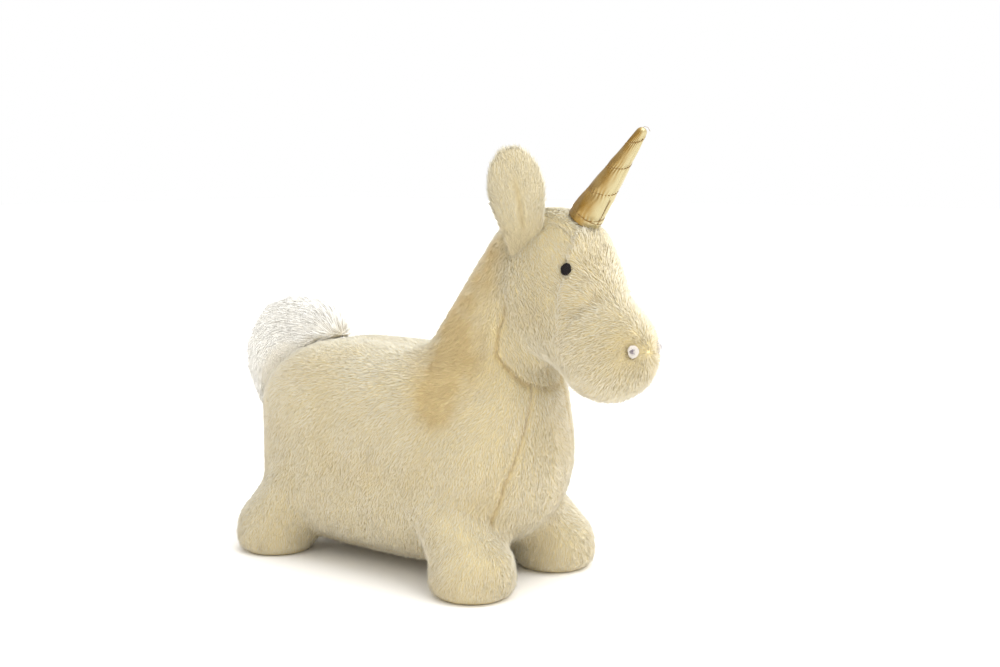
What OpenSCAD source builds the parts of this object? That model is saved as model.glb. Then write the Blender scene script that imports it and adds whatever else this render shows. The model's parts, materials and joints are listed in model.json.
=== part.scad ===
// Ride-on plush unicorn: a zip-off plush cover over an inflated bladder, with stuffed ears,
// horn and tail sewn on. The face points to -Y, +X is the animal's left and +Z is up.
// The origin lies on the floor, below the middle of the whole length.

/* [Barrel] */
// Length of the barrel, from its front end to the rump
body_l = 376; // [310:2:456]
// Width of the barrel
body_w = 216; // [180:2:264]
// Height of the barrel, from belly to seat
body_h = 246; // [204:2:300]
// Gap between the floor and the belly
belly_gap = 13; // [12:1:30]
// Half width of the barrel's rounded corners
corner_w = 77; // [60:1:88]
// Half length of the barrel's rounded ends
corner_l = 120; // [90:1:150]
// Half height of the barrel's rounded corners
corner_h = 88; // [70:1:100]

/* [Chest and neck] */
// Half width of the chest
chest_w = 106; // [86:1:126]
// How far the chest stands out in front of the barrel
chest_out = 38; // [20:1:45]
// Half width of the neck at its foot
neck_w = 70; // [58:1:86]
// Half width of the neck at the poll
poll_w = 48; // [40:1:58]

/* [Head] */
// Height of the middle of the skull above the seat
head_rise = 81; // [68:1:98]
// How far the middle of the skull stands in front of the barrel
head_lead = 32; // [20:1:44]
// Half width of the skull
skull_w = 64; // [53:1:77]
// Half length of the skull, front to back
skull_l = 80; // [66:1:96]
// Half height of the skull
skull_h = 82; // [68:1:98]
// Width of the strip over the forehead
forehead_w = 58; // [48:1:69]
// Half width of the muzzle
muzzle_w = 58; // [48:1:70]
// Half length of the muzzle
muzzle_l = 56; // [46:1:68]
// Half height of the muzzle
muzzle_h = 57; // [47:1:68]
// How far the muzzle's middle stands in front of the skull's middle
muzzle_lead = 71; // [60:1:86]
// How far the muzzle's middle lies below the skull's middle
muzzle_drop = 71; // [58:1:84]
// Radius of an embroidered eye
eye_r = 7; // [5:0.5:9]
// Radius of an embroidered nostril
nostril_r = 8; // [6:0.5:10]

/* [Legs] */
// Distance of each leg's middle from the centre line
leg_x = 75; // [64:1:90]
// Distance of the front feet behind the barrel's front end
front_foot_in = 22; // [10:1:40]
// Distance of the rear feet ahead of the rump
rear_foot_in = 47; // [30:1:60]
// Half width of a foot
foot_w = 51; // [42:1:61]
// Half length of a foot
foot_l = 52; // [43:1:62]
// Height of the widest part of a foot
foot_h = 20; // [17:1:30]
// Thickness of the sole pieces
sole_t = 5; // [3:0.5:8]

/* [Cover and bladder] */
// Thickness of the plush cover, backing and pile together
cover_t = 10; // [8:0.5:12]
// Gap left between two cover pieces at a seam
seam_gap = 0.6; // [0.5:0.1:1.5]
// Air gap between the cover and the bladder
skin_gap = 1; // [0.6:0.1:2]
// Wall of the inflated bladder
bladder_t = 3; // [2:0.5:5]

/* [Ears] */
// Length of an ear, from its seam to its tip
ear_l = 94; // [78:1:113]
// Greatest width of an ear
ear_w = 64; // [52:1:77]
// Greatest thickness of an ear
ear_t = 24; // [20:1:29]
// Width of the seam that joins an ear to the head
ear_seam_w = 40; // [33:1:48]
// Thickness of the plush round the ear stuffing
ear_cover_t = 5; // [3:0.5:7]
// Distance of each ear's seam from the centre line
ear_x = 50; // [42:1:52]
// Turn of each ear's face away from straight ahead, in degrees
ear_turn = 50; // [30:1:60]
// Outward lean of each ear, in degrees from upright
ear_lean = 14; // [0:1:20]
// How far the left ear flops forward from where it was sewn, in degrees
left_ear_nod = 20; // [0:1:25]
// How far the left ear flops outward from where it was sewn, in degrees
left_ear_flop = 12; // [0:1:15]
// How far an ear bends each way, in degrees
ear_bend = 30; // [20:1:30]

/* [Horn] */
// Length of the horn
horn_l = 114; // [95:1:137]
// Radius of the horn at its foot
horn_r = 18.5; // [15:0.5:22.5]
// Radius of the horn's rounded tip
horn_tip_r = 5; // [3.5:0.5:7]
// Forward lean of the horn, in degrees from upright
horn_lean = 38; // [25:1:45]
// Height that the stitched spiral climbs in one turn
horn_pitch = 32; // [26:0.5:38]
// Thickness of the metallic fabric
horn_cover_t = 1.2; // [0.8:0.1:2]
// Radius of the stitching thread
thread_r = 0.7; // [0.5:0.1:1]
// How far the horn bends each way, in degrees
horn_bend = 15; // [10:1:20]

/* [Tail] */
// Distance of the tail's seam in front of the rump
tail_in = 68; // [60:1:90]
// Radius of the curve that the tail follows
tail_arc_r = 75; // [64:1:90]
// Half thickness of the tail with its long pile
tail_r = 38; // [31:1:46]
// Radius of the stuffed core inside the pile
tail_core_r = 13; // [10:1:16]

/* [Zip and valve] */
// Length of the belly zip
zip_l = 230; // [190:2:278]
// Width of one zip tape
tape_w = 14; // [11:1:18]
// Thickness of the zip tape
tape_t = 1; // [0.8:0.1:1.4]
// Width of one half of the zip chain
chain_w = 2.6; // [2.2:0.1:3.2]
// Length of the zip slider
slider_l = 14; // [11:0.5:18]
// Radius of the inflation valve's bore
valve_r = 4.3; // [3.5:0.1:6]
// How far the plug pulls out
plug_travel = 8; // [6:0.5:9.6]

/* [Hidden] */

cream = [0.93, 0.88, 0.74];
gold_cream = [0.83, 0.74, 0.52];
white_pile = [0.96, 0.95, 0.92];
wadding = [0.98, 0.98, 0.97];
gold = [0.78, 0.63, 0.3];
gold_thread = [0.5, 0.38, 0.16];
eye_thread = [0.16, 0.09, 0.1];
zip_white = [0.92, 0.9, 0.84];
vinyl = [0.86, 0.84, 0.76];

fine = 24;       // facets of the outer rounds
coarse = 16;     // facets of the rounds inside the cover
smooth = 64;     // facets of turned shapes
far = 900;       // longer than anything that a cut passes through
left = 1;
right = -1;

// Heights and places that follow from the sizes above. y counts from the barrel's middle.
seat_z = belly_gap + body_h;
body_z = belly_gap + body_h / 2;
front_y = -body_l / 2;
rump_y = body_l / 2;
front_foot_y = front_y + front_foot_in;
rear_foot_y = rump_y - rear_foot_in;
skull = [0, front_y - head_lead, seat_z + head_rise];
muzzle = skull + [0, -muzzle_lead, -muzzle_drop];
poll = skull + [0, 30, 25];
neck_foot = [0, front_y + 75, seat_z - 47];
inside_t = cover_t + skin_gap;

// The tail's arc runs from its root, over the top, to the hanging end.
tail_start_turn = 132;
tail_end_turn = -12;
tail_mid = [0, rump_y - tail_in + 47, seat_z - 67];
tail_pivot = [0, rump_y - tail_in - 27, seat_z + 1];
tail_end_y = tail_mid[1] + tail_arc_r + 0.63 * tail_r;

// The frame's origin lies below the middle of the length from muzzle to tail.
shift_y = -(muzzle[1] - muzzle_l + tail_end_y) / 2;

// A point on the skull's surface, from its turn round the head and its height angle.
function on_ball(centre, radii, turn, rise) = centre + [
    radii[0] * cos(rise) * sin(turn), -radii[1] * cos(rise) * cos(turn), radii[2] * sin(rise)];
function ball_turn(radii, turn, rise) =
    atan2(cos(rise) * sin(turn) / radii[0], cos(rise) * cos(turn) / radii[1]);

skull_radii = [skull_w, skull_l, skull_h];
muzzle_radii = [muzzle_w, muzzle_l, muzzle_h];

// Ear seats: the ear's seam sits on the skull, a little in front of its middle.
ear_lead = -5;
ear_z = skull[2] + skull_h * sqrt(1 - pow(ear_x / skull_w, 2) - pow(ear_lead / skull_l, 2));
function ear_seat(side) = [side * ear_x, skull[1] - ear_lead, ear_z];

// Horn seat: on the skull's midline, as far forward as the horn leans.
horn_seat_turn = horn_lean - 7;
horn_seat = skull + [0, -skull_l * sin(horn_seat_turn), skull_h * cos(horn_seat_turn)];
root_sink = 2;      // how far the roots of ears and horn lie in the pile
root_room = 1.2;    // clearance round a root over its whole bend
root_depth = root_sink + root_room + 5; // how deep the plush gives way round a root

// ---------------------------------------------------------------- rounded masses

module in_frame() { translate([0, shift_y, 0]) children(); }

module egg(centre, radii, inset, facets) {
    translate(centre) scale([for (r = radii) r - inset]) sphere(1, $fn = facets);
}

module barrel(inset, facets) {
    hull() {
        for (sx = [-1, 1], sy = [-1, 1], sz = [-1, 1])
            egg([sx * (body_w / 2 - corner_w), sy * (body_l / 2 - corner_l), body_z + sz * (body_h / 2 - corner_h)],
                [corner_w, corner_l, corner_h], inset, facets);
        egg([0, front_y + 56, body_z + 6], [chest_w, 56 + chest_out, body_h / 2 - 14], inset, facets);
    }
}

module breast(inset, facets) {
    hull() {
        egg([0, front_y + 56, body_z + 6], [chest_w, 56 + chest_out, body_h / 2 - 14], inset, facets);
        egg([0, front_y + 48, seat_z - 50], [chest_w - 17, 44 + chest_out, 72], inset, facets);
    }
}

module neck(inset, facets) {
    hull() {
        egg(neck_foot, [neck_w, 84, 66], inset, facets);
        egg(poll, [poll_w, 52, 46], inset, facets);
    }
}

module head(inset, facets) {
    hull() {
        egg(skull, skull_radii, inset, facets);
        egg(skull + [0, -34, -38], [skull_w - 2, 62, 62], inset, facets);
    }
    hull() {
        egg(skull + [0, -38, -40], [skull_w - 8, 56, 56], inset, facets);
        egg(muzzle, muzzle_radii, inset, facets);
    }
}

module torso(inset, facets) {
    barrel(inset, facets);
    breast(inset, facets);
    neck(inset, facets);
}

// One leg: a thigh that sinks into the barrel and a broad foot with a flat sole.
module leg(side, foot_y, inset, facets) {
    thigh_y = foot_y * 0.7;
    hull() {
        egg([side * (leg_x - 6), thigh_y, body_z - 40], [42, 36, 33], inset, facets);
        egg([side * leg_x, foot_y, foot_h + 18], [foot_w - 3, foot_l - 3, foot_h + 10], inset, facets);
    }
    hull() {
        egg([side * leg_x, foot_y, foot_h + 18], [foot_w - 3, foot_l - 3, foot_h + 10], inset, facets);
        egg([side * leg_x, foot_y, foot_h], [foot_w, foot_l, foot_h], inset, facets);
        translate([side * leg_x, foot_y, inset])
            scale([foot_w - 9 - inset, foot_l - 9 - inset, 1]) cylinder(h = 2, r = 1, $fn = facets);
    }
}

module legs(inset, facets) {
    for (side = [left, right], foot_y = [front_foot_y, rear_foot_y]) leg(side, foot_y, inset, facets);
}

module whole(inset, facets) {
    torso(inset, facets);
    head(inset, facets);
    legs(inset, facets);
}

// ---------------------------------------------------------------- seams and cuts

// Everything to one side of the midline seam.
module half(side) {
    translate([side * (far + seam_gap) / 2, 0, far / 2]) cube([far, far * 2, far * 2], center = true);
}

// A flat outline in the plane of symmetry, given as [y, z], pushed sideways by width.
module sideways(outline, width) {
    rotate([90, 0, 90]) translate([0, 0, -width / 2]) linear_extrude(width) polygon(outline);
}

// The head's share of the cover: its edge is the seam from behind the ears down to the throat.
module head_share(gap) {
    y = skull[1];
    z = skull[2];
    sideways([
        [y + 48 + gap, z + 120], [y + 15 + gap, z + 45], [y + 24 + gap, z - 16], [y + 40 + gap, z - 52],
        [y + 42 + gap, z - 78], [y + 34 + gap, z - 88 - gap], [y + 16, z - 108 - gap],
        [y - 20, z - 136 - gap], [y - 200, z - 190 - gap], [y - 200, z + 120]], far);
}

// The muzzle's share: its edge is the crease from the bridge round the cheek to the jaw.
module muzzle_share(gap) {
    y = muzzle[1];
    z = muzzle[2];
    sideways([
        [y - 27 + gap, z + 75], [y - 11 + gap, z + 57], [y + 10 + gap, z + 40], [y + 23 + gap, z + 15],
        [y + 29 + gap, z - 15], [y + 29 + gap, z - 80], [y - 130, z - 80], [y - 130, z + 75]], far);
}

// The strip that runs from the poll over the forehead to the bridge of the nose.
module forehead_share(gap) {
    translate([0, skull[1] - 40, skull[2] + far / 2 - 50])
        cube([forehead_w + 2 * gap, 260, far], center = true);
}

// The chest piece lies between two seams that spread from the throat to the front legs.
module chest_share(gap) {
    top = seat_z - 24;
    translate([0, belly_l / -2 + 5, 0]) rotate([90, 0, 0]) linear_extrude(200)
        polygon([
            [-22 - gap, top + gap], [-40 - gap, top - 54], [-61 - gap, top - 110], [-61 - gap, 0],
            [61 + gap, 0], [61 + gap, top - 110], [40 + gap, top - 54], [22 + gap, top + gap]]);
}

belly_w = 124;
belly_short = 110;    // how much shorter the belly panels are than the body
belly_beyond = 30;    // and how much longer than the zip they are at least
belly_l = max(body_l - belly_short, zip_l + belly_beyond);
belly_edge = 32;

module belly_share(gap) {
    translate([0, 0, belly_gap + belly_edge - 50 + gap])
        cube([belly_w + 2 * gap, belly_l + 2 * gap, 100], center = true);
}

// The room that an ear's or the horn's root sweeps as it bends: below the seam, then above it.
module ear_sweep(side, grow) {
    for (steps = [[0, 1], [1, 3]])
        hull()
            for (bend = [-ear_bend, 0, ear_bend], step = steps)
                at_ear(side) rotate([bend, 0, 0]) ear_section(step, -root_room - grow, coarse);
}

module horn_sweep(grow) {
    for (bend = [-horn_bend : horn_bend / 2 : horn_bend])
        at_horn() rotate([bend, 0, 0])
            translate([0, 0, -root_sink - root_room - grow])
                cylinder(h = horn_l, r1 = horn_r + root_room + grow, r2 = horn_r, $fn = smooth);
}

module roots(grow) {
    for (side = [left, right])
        difference() {
            ear_sweep(side, grow);
            in_root_depth(grow);
        }
    horn_sweep(grow);
}

// Roots reach no deeper into the head than this.
module in_root_depth(grow) { head(root_depth + grow, coarse); }

module plush() {
    difference() {
        whole(0, fine);
        whole(cover_t, coarse);
        roots(0);
    }
}

// ---------------------------------------------------------------- cover pieces

module torso_plush() {
    difference() {
        torso(0, fine);
        whole(cover_t, coarse);
        roots(0);
    }
}

module body_side(side) {
    color(cream) in_frame() difference() {
        intersection() {
            torso_plush();
            half(side);
        }
        head_share(seam_gap);
        chest_share(seam_gap);
        belly_share(seam_gap);
    }
}

module chest_gusset() {
    color(cream) in_frame() difference() {
        intersection() {
            torso_plush();
            chest_share(0);
        }
        head_share(seam_gap);
        belly_share(seam_gap);
    }
}

module belly(side) {
    color(cream) in_frame() difference() {
        intersection() {
            torso_plush();
            belly_share(0);
            half(side);
        }
        zip_slot();
    }
}

module head_piece() {
    difference() {
        intersection() {
            plush();
            head_share(0);
        }
        children();
    }
}

module forehead_gusset() {
    color(cream) in_frame() intersection() {
        head_piece() muzzle_share(seam_gap);
        forehead_share(0);
    }
}

module cheek(side) {
    color(cream) in_frame() intersection() {
        head_piece() {
            muzzle_share(seam_gap);
            forehead_share(seam_gap);
        }
        half(side);
    }
}

module muzzle_cap() {
    color(cream) in_frame() intersection() {
        plush();
        head_share(0);
        muzzle_share(0);
    }
}

module leg_plush(side, foot_y) {
    difference() {
        leg(side, foot_y, 0, fine);
        whole(cover_t, coarse);
        torso(-seam_gap, fine);
    }
}

module leg_sleeve(side, foot_y) {
    color(cream) in_frame() difference() {
        leg_plush(side, foot_y);
        translate([0, 0, sole_t + seam_gap - 50]) cube([far, far, 100], center = true);
    }
}

module sole(side, foot_y) {
    color(gold_cream) in_frame() intersection() {
        leg_plush(side, foot_y);
        translate([0, 0, sole_t - 50]) cube([far, far, 100], center = true);
    }
}

// ---------------------------------------------------------------- ears

// Ear frame: origin on the seam, x along the seam, -y out of the ear's face, z towards the tip.
module at_ear(side) {
    flop = side == left ? left_ear_flop : 0;
    nod = side == left ? left_ear_nod : 0;
    translate(ear_seat(side))
        rotate([nod, side * (ear_lean + flop), 0]) rotate([0, 0, side * ear_turn]) children();
}

ear_steps = 8;
ear_foot = -10;     // the ear's mass starts this far below its seam, inside the head

function ear_half_w(u) = u < 0.5
    ? ear_seam_w / 2 + (ear_w - ear_seam_w) / 2 * sin(180 * max(u, 0))
    : ear_w / 2 * sqrt(max(0.03, 1 - pow((u - 0.5) / 0.5, 2)));
function ear_half_t(u) = u < 0.5
    ? ear_t / 3 + ear_t / 6 * sin(180 * max(u, 0))
    : ear_t / 2 * sqrt(max(0.1, 1 - pow((u - 0.5) / 0.56, 2)));

module ear_section(step, inset, facets) {
    z = ear_foot + (ear_l - ear_foot - 6) * step / ear_steps;
    u = z / ear_l;
    translate([0, 0, z])
        scale([ear_half_w(u) - inset, ear_half_t(u) - inset, 6 - min(inset, 4)])
            sphere(1, $fn = facets);
}

module ear_mass(inset, facets) {
    for (step = [0 : ear_steps - 1])
        hull() {
            ear_section(step, inset, facets);
            ear_section(step + 1, inset, facets);
        }
}

// One face of an ear's plush shell: front is 1 for the lining and -1 for the back.
module ear_shell(side, front) {
    in_frame() difference() {
        at_ear(side) difference() {
            ear_mass(0, coarse);
            ear_mass(ear_cover_t, coarse);
            translate([0, front * (far - seam_gap) / 2, 0]) cube([far, far, far], center = true);
        }
        head(root_sink, fine);
    }
}

module ear_back(side) { color(cream) ear_shell(side, -1); }

module ear_lining(side) { color(gold_cream) ear_shell(side, 1); }

module ear_stuffing(side) {
    color(wadding) in_frame() difference() {
        at_ear(side) ear_mass(ear_cover_t + 0.5, coarse);
        head(root_sink, fine);
    }
}

// ---------------------------------------------------------------- horn

module at_horn() { translate(horn_seat) rotate([horn_lean, 0, 0]) children(); }

horn_foot = -root_sink;
horn_cone_l = horn_l - horn_tip_r - horn_foot;

function cone_r(z) = horn_r + (horn_tip_r - horn_r) * (z - horn_foot) / horn_cone_l;

// A cone with a round tip, drawn inset by the fabric's thickness for the stuffing.
module horn_solid(inset) {
    rotate_extrude($fn = smooth)
        polygon(concat(
            [[0, horn_foot], [horn_r - inset, horn_foot]],
            [for (turn = [0 : 18 : 89])
                [(horn_tip_r - inset) * cos(turn), horn_l - horn_tip_r + (horn_tip_r - inset) * sin(turn)]],
            [[0, horn_l - inset]]));
}

module horn_cover() {
    color(gold) in_frame() at_horn() difference() {
        horn_solid(0);
        horn_solid(horn_cover_t);
    }
}

module horn_stuffing() {
    color(wadding) in_frame() at_horn() horn_solid(horn_cover_t + 0.3);
}

// One thread winds up the horn as a right-handed spiral and draws the fabric in.
spiral_start = 208;     // where it sets out, in degrees round the horn
spiral_z = 1.5;
spiral_steps = 18;      // short straight stitches in a turn
spiral_turns = (horn_cone_l - horn_tip_r) / horn_pitch - 0.2;

function spiral_point(turns) = let (z = spiral_z + horn_pitch * turns, round = spiral_start + 360 * turns)
    [cone_r(z) * cos(round), cone_r(z) * sin(round), z];

module horn_stitching() {
    color(gold_thread) in_frame() at_horn()
        for (step = [0 : spiral_turns * spiral_steps - 1])
            hull()
                for (k = [step, step + 1])
                    translate(spiral_point(k / spiral_steps)) sphere(thread_r, $fn = 8);
}

// ---------------------------------------------------------------- tail

tail_steps = 9;

function tail_turn(u) = tail_start_turn + (tail_end_turn - tail_start_turn) * u;
function tail_point(u) = tail_mid + tail_arc_r * [0, cos(tail_turn(u)), sin(tail_turn(u))];
// Half thickness along the tail: slim at the seam, full on top, thin at the hanging end.
function tail_half_t(u) =
    tail_r * (0.62 + 0.38 * sin(180 * min(1, u + 0.12))) * (u < 0.8 ? 1 : 1 - 1.6 * (u - 0.8));

module tail_mass(grow, last, facets) {
    for (step = [0 : last - 1])
        hull()
            for (u = [step / tail_steps, (step + 1) / tail_steps])
                egg(tail_point(u), [for (k = [0.92, 1, 1]) k * (tail_half_t(u) + grow)], 0, facets);
}

module tail_core(grow) {
    for (step = [0 : tail_steps - 2])
        hull()
            for (u = [step / tail_steps, (step + 1) / tail_steps])
                translate(tail_point(u)) sphere(tail_core_r + grow, $fn = coarse);
}

rump_gap = 1.2;     // the tail rests this far off the rump's pile

module behind_tail_seam() {
    translate([0, tail_pivot[1] + far / 2, 0]) cube([far, far, far * 2], center = true);
}

module tail_pelt() {
    color(white_pile) in_frame() difference() {
        intersection() {
            tail_mass(0, tail_steps, coarse);
            behind_tail_seam();
        }
        tail_core(0.3);
        torso(-rump_gap, fine);
    }
}

module tail_stuffing() {
    color(wadding) in_frame() difference() {
        tail_core(0);
        torso(-rump_gap, fine);
    }
}

// ---------------------------------------------------------------- face

// A thread-filled spot, domed on both sides, set half into the pile.
spot_t = 3;

module spot(r) {
    rotate_extrude($fn = smooth) polygon(concat(
        [[0, -spot_t / 2], [r - 1, -spot_t / 2], [r, 0]],
        [for (k = [1 : 4]) [r * (1 - k / 4), spot_t / 2 * sin(90 * k / 4)]]));
}

module on_face(centre, radii, turn, rise) {
    translate(on_ball(centre, radii, turn, rise))
        rotate([0, 0, ball_turn(radii, turn, rise)]) rotate([90 - rise, 0, 0]) children();
}

eye_turn = 51;
eye_rise = 12;
nostril_turn = 27;
nostril_rise = 6;

module eye(side) {
    color(eye_thread) in_frame() on_face(skull, skull_radii, side * eye_turn, eye_rise) spot(eye_r);
}

module nostril(side) {
    color(white_pile) in_frame()
        on_face(muzzle, muzzle_radii, side * nostril_turn, nostril_rise) spot(nostril_r);
}

// ---------------------------------------------------------------- zip

tape_z = belly_gap + 5;           // underside of the zip tapes
chain_t = 1.6;                    // thickness of the zip chain below the tapes
slit = 0.8;                       // half of the slit between the two tapes
slide_gap = 0.4;                  // running gap round the slider
plate_t = 1.6;
slider_w = 2 * (slit + chain_w + slide_gap + 0.8);
slot_w = slider_w + 3;
end_stop = 3;
slider_y = zip_l / 2 - end_stop - slide_gap - slider_l / 2;
lower_plate_z = tape_z - chain_t - slide_gap - plate_t;
upper_plate_z = tape_z + tape_t + slide_gap;
pull_pivot_z = lower_plate_z - 1.3;
pull_l = 11;
pull_w = 5.6;
pin_r = 0.7;
arch_half = 2.3;

module zip_slot() {
    translate([0, 0, tape_z + tape_t / 2])
        cube([2 * (slit + tape_w + 0.3), zip_l + 4, tape_t + 0.6], center = true);
    translate([0, 0, belly_gap + 5]) cube([slot_w, zip_l + 4, 60], center = true);
}

module zip_tape(side) {
    color(zip_white) in_frame()
        translate([side * (slit + tape_w / 2), 0, tape_z + tape_t / 2])
            cube([tape_w, zip_l, tape_t], center = true);
}

module zip_chain() {
    color(zip_white) in_frame()
        for (side = [left, right])
            translate([side * (slit + chain_w / 2), 0, tape_z - chain_t / 2 - 0.05])
                cube([chain_w, zip_l - 2 * end_stop - 0.4, chain_t - 0.1], center = true);
}

module zip_stops() {
    color("silver") in_frame()
        for (y = [-1, 1], side = [left, right])
            translate([side * (slit + chain_w / 2), y * (zip_l - end_stop) / 2, tape_z - chain_t / 2 - 0.05])
                cube([chain_w, end_stop - 0.2, chain_t - 0.1], center = true);
}

module zip_slider() {
    color("silver") in_frame() translate([0, slider_y, 0]) {
        translate([0, 0, lower_plate_z + plate_t / 2]) cube([slider_w, slider_l, plate_t], center = true);
        translate([0, 0, upper_plate_z + plate_t / 2]) cube([slider_w, slider_l, plate_t], center = true);
        // The wedge post joins the plates through the slit.
        translate([0, slider_l / 2 - 2, (lower_plate_z + upper_plate_z + plate_t) / 2])
            cube([slit, 3, upper_plate_z - lower_plate_z + plate_t - 0.2], center = true);
        // Side flanges keep the chain in line.
        for (side = [left, right])
            translate([side * (slider_w / 2 - 0.4), 0, lower_plate_z + plate_t / 2 + 1])
                cube([0.8, slider_l, plate_t + 1.2], center = true);
        // The arch holds the pull's pin.
        for (y = [-1, 1])
            translate([0, y * (arch_half - 0.4), lower_plate_z - 1.6]) cube([2, 0.8, 3.4], center = true);
        translate([0, 0, lower_plate_z - 3]) cube([2, 2 * arch_half, 0.8], center = true);
    }
}

module zip_pull() {
    color("silver") in_frame() translate([0, slider_y, pull_pivot_z]) {
        rotate([0, 90, 0]) cylinder(h = pull_w, r = pin_r, center = true, $fn = 24);
        for (side = [left, right])
            translate([side * (pull_w / 2 - 0.6), 0, -2.1]) cube([1.2, 1.2, 4.2], center = true);
        translate([0, 0, -(pull_l + 3.6) / 2]) cube([pull_w, 1.2, pull_l - 3.6], center = true);
    }
}

// ---------------------------------------------------------------- bladder and valve

valve_y = 30;
dimple_r = 16;
dimple_top = belly_gap + inside_t + 16;
flange_r = 13;
flange_t = 2;
tube_wall = 2.7;
plug_l = plug_travel + 6;
tube_h = plug_l + 4;
plug_fit = 0.3;
plug_head_t = 2.2;

module valve_dimple(grow) {
    translate([0, valve_y, 0]) cylinder(h = dimple_top + grow, r = dimple_r + grow, $fn = smooth);
}

// The inner faces leave the bladder's wall round every outer face.
module bladder() {
    color(vinyl) in_frame() difference() {
        whole(inside_t, coarse);
        valve_dimple(0);
        roots(skin_gap);
        difference() {
            whole(inside_t + bladder_t, coarse);
            valve_dimple(bladder_t);
            roots(skin_gap + bladder_t);
        }
        translate([0, valve_y, 0])
            cylinder(h = dimple_top + 2 * bladder_t, r = valve_r + tube_wall + 0.3, $fn = smooth);
    }
}

module valve_body() {
    color(vinyl) in_frame() translate([0, valve_y, dimple_top - flange_t - 0.2]) difference() {
        union() {
            cylinder(h = flange_t, r = flange_r, $fn = smooth);
            cylinder(h = tube_h, r = valve_r + tube_wall, $fn = smooth);
        }
        translate([0, 0, -1]) cylinder(h = tube_h + 2, r = valve_r, $fn = smooth);
    }
}

module valve_plug() {
    color(vinyl) in_frame() translate([0, valve_y, dimple_top - flange_t - 0.6]) {
        translate([0, 0, -plug_head_t]) cylinder(h = plug_head_t, r = valve_r * 2, $fn = smooth);
        translate([0, 0, -0.5]) cylinder(h = plug_l, r = valve_r - plug_fit, $fn = smooth);
    }
}

// ---------------------------------------------------------------- label

// A folded blank label, held in the rump's midline seam.
module care_label() {
    color("white") in_frame()
        translate([0, rump_y + 10, body_z - 34]) cube([seam_gap - 0.2, 30, 20], center = true);
}

// ---------------------------------------------------------------- nodes

body_side(left);  // side_left
body_side(right);  // side_right
chest_gusset();
belly(left);  // belly_left
belly(right);  // belly_right
forehead_gusset();
cheek(left);  // cheek_left
cheek(right);  // cheek_right
muzzle_cap();
leg_sleeve(left, front_foot_y);  // leg_front_left
leg_sleeve(right, front_foot_y);  // leg_front_right
leg_sleeve(left, rear_foot_y);  // leg_rear_left
leg_sleeve(right, rear_foot_y);  // leg_rear_right
sole(left, front_foot_y);  // sole_front_left
sole(right, front_foot_y);  // sole_front_right
sole(left, rear_foot_y);  // sole_rear_left
sole(right, rear_foot_y);  // sole_rear_right
ear_back(left);  // ear_left_back
ear_lining(left);  // ear_left_lining
ear_stuffing(left);  // ear_left_stuffing
ear_back(right);  // ear_right_back
ear_lining(right);  // ear_right_lining
ear_stuffing(right);  // ear_right_stuffing
horn_cover();
horn_stuffing();
horn_stitching();
tail_pelt();
tail_stuffing();
eye(left);  // eye_left
eye(right);  // eye_right
nostril(left);  // nostril_left
nostril(right);  // nostril_right
zip_tape(left);  // zip_tape_left
zip_tape(right);  // zip_tape_right
zip_chain();
zip_stops();
zip_slider();
zip_pull();
bladder();
valve_body();
valve_plug();
care_label();
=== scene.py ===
import bpy, bmesh, json, math
import numpy as np
from mathutils import Matrix, Vector, noise
from mathutils.bvhtree import BVHTree


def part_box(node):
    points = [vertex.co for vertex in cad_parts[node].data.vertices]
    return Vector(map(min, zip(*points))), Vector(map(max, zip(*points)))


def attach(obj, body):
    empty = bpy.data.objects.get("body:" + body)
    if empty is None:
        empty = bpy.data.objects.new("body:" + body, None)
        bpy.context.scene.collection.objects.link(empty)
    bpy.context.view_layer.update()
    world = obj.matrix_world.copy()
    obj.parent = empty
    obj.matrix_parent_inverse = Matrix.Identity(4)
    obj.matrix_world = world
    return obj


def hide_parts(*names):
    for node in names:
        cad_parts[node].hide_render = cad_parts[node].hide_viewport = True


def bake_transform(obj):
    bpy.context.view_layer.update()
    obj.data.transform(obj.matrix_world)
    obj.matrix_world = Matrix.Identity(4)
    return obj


# A plush hopper: an inflated body in a cream cover, with stuffed ears, a gold horn and a long-pile tail.
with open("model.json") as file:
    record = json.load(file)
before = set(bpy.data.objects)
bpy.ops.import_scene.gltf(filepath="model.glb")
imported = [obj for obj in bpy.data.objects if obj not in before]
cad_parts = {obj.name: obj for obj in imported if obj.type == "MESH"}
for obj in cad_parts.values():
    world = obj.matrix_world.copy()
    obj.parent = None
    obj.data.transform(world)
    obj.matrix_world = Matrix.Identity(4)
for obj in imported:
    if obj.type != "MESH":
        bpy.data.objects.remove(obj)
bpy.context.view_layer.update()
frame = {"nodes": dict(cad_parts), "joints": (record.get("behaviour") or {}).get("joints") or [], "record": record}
scene = bpy.context.scene
joints = {j["name"]: j for j in frame["joints"]}
print("frame loaded:", len(frame["nodes"]), "nodes")


# The camera that the main view is taken with.
view = {
    "azimuth": -51.8,
    "elevation": 6.82,
    "distance": 1.76,
    "lookX": 0.16746,
    "lookAhead": 0.01365,    # how far the aim lies in front of the barrel's middle
    "lookZ": 0.2515,
    "lens": 50,
}
barrelMid = joints["tail_lift"]["pos_m"][1] - 0.093    # the tail's hinge is 93 mm behind the barrel's middle


def makeCamera(v):
    a, e = math.radians(v["azimuth"]), math.radians(v["elevation"])
    back = Vector((math.sin(a) * math.cos(e), -math.cos(a) * math.cos(e), math.sin(e)))
    cam = bpy.data.objects.new("camera", bpy.data.cameras.new("camera"))
    scene.collection.objects.link(cam)
    cam.data.lens = v["lens"]
    cam.location = Vector((v["lookX"], barrelMid - v["lookAhead"], v["lookZ"])) + back * v["distance"]
    cam.rotation_euler = back.to_track_quat("Z", "Y").to_euler()
    cam.data.clip_end = 30
    scene.camera = cam


makeCamera(view)


# Shape tools that every piece uses.
def linked(name, mesh):
    ob = bpy.data.objects.new(name, mesh)
    scene.collection.objects.link(ob)
    return ob


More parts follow.
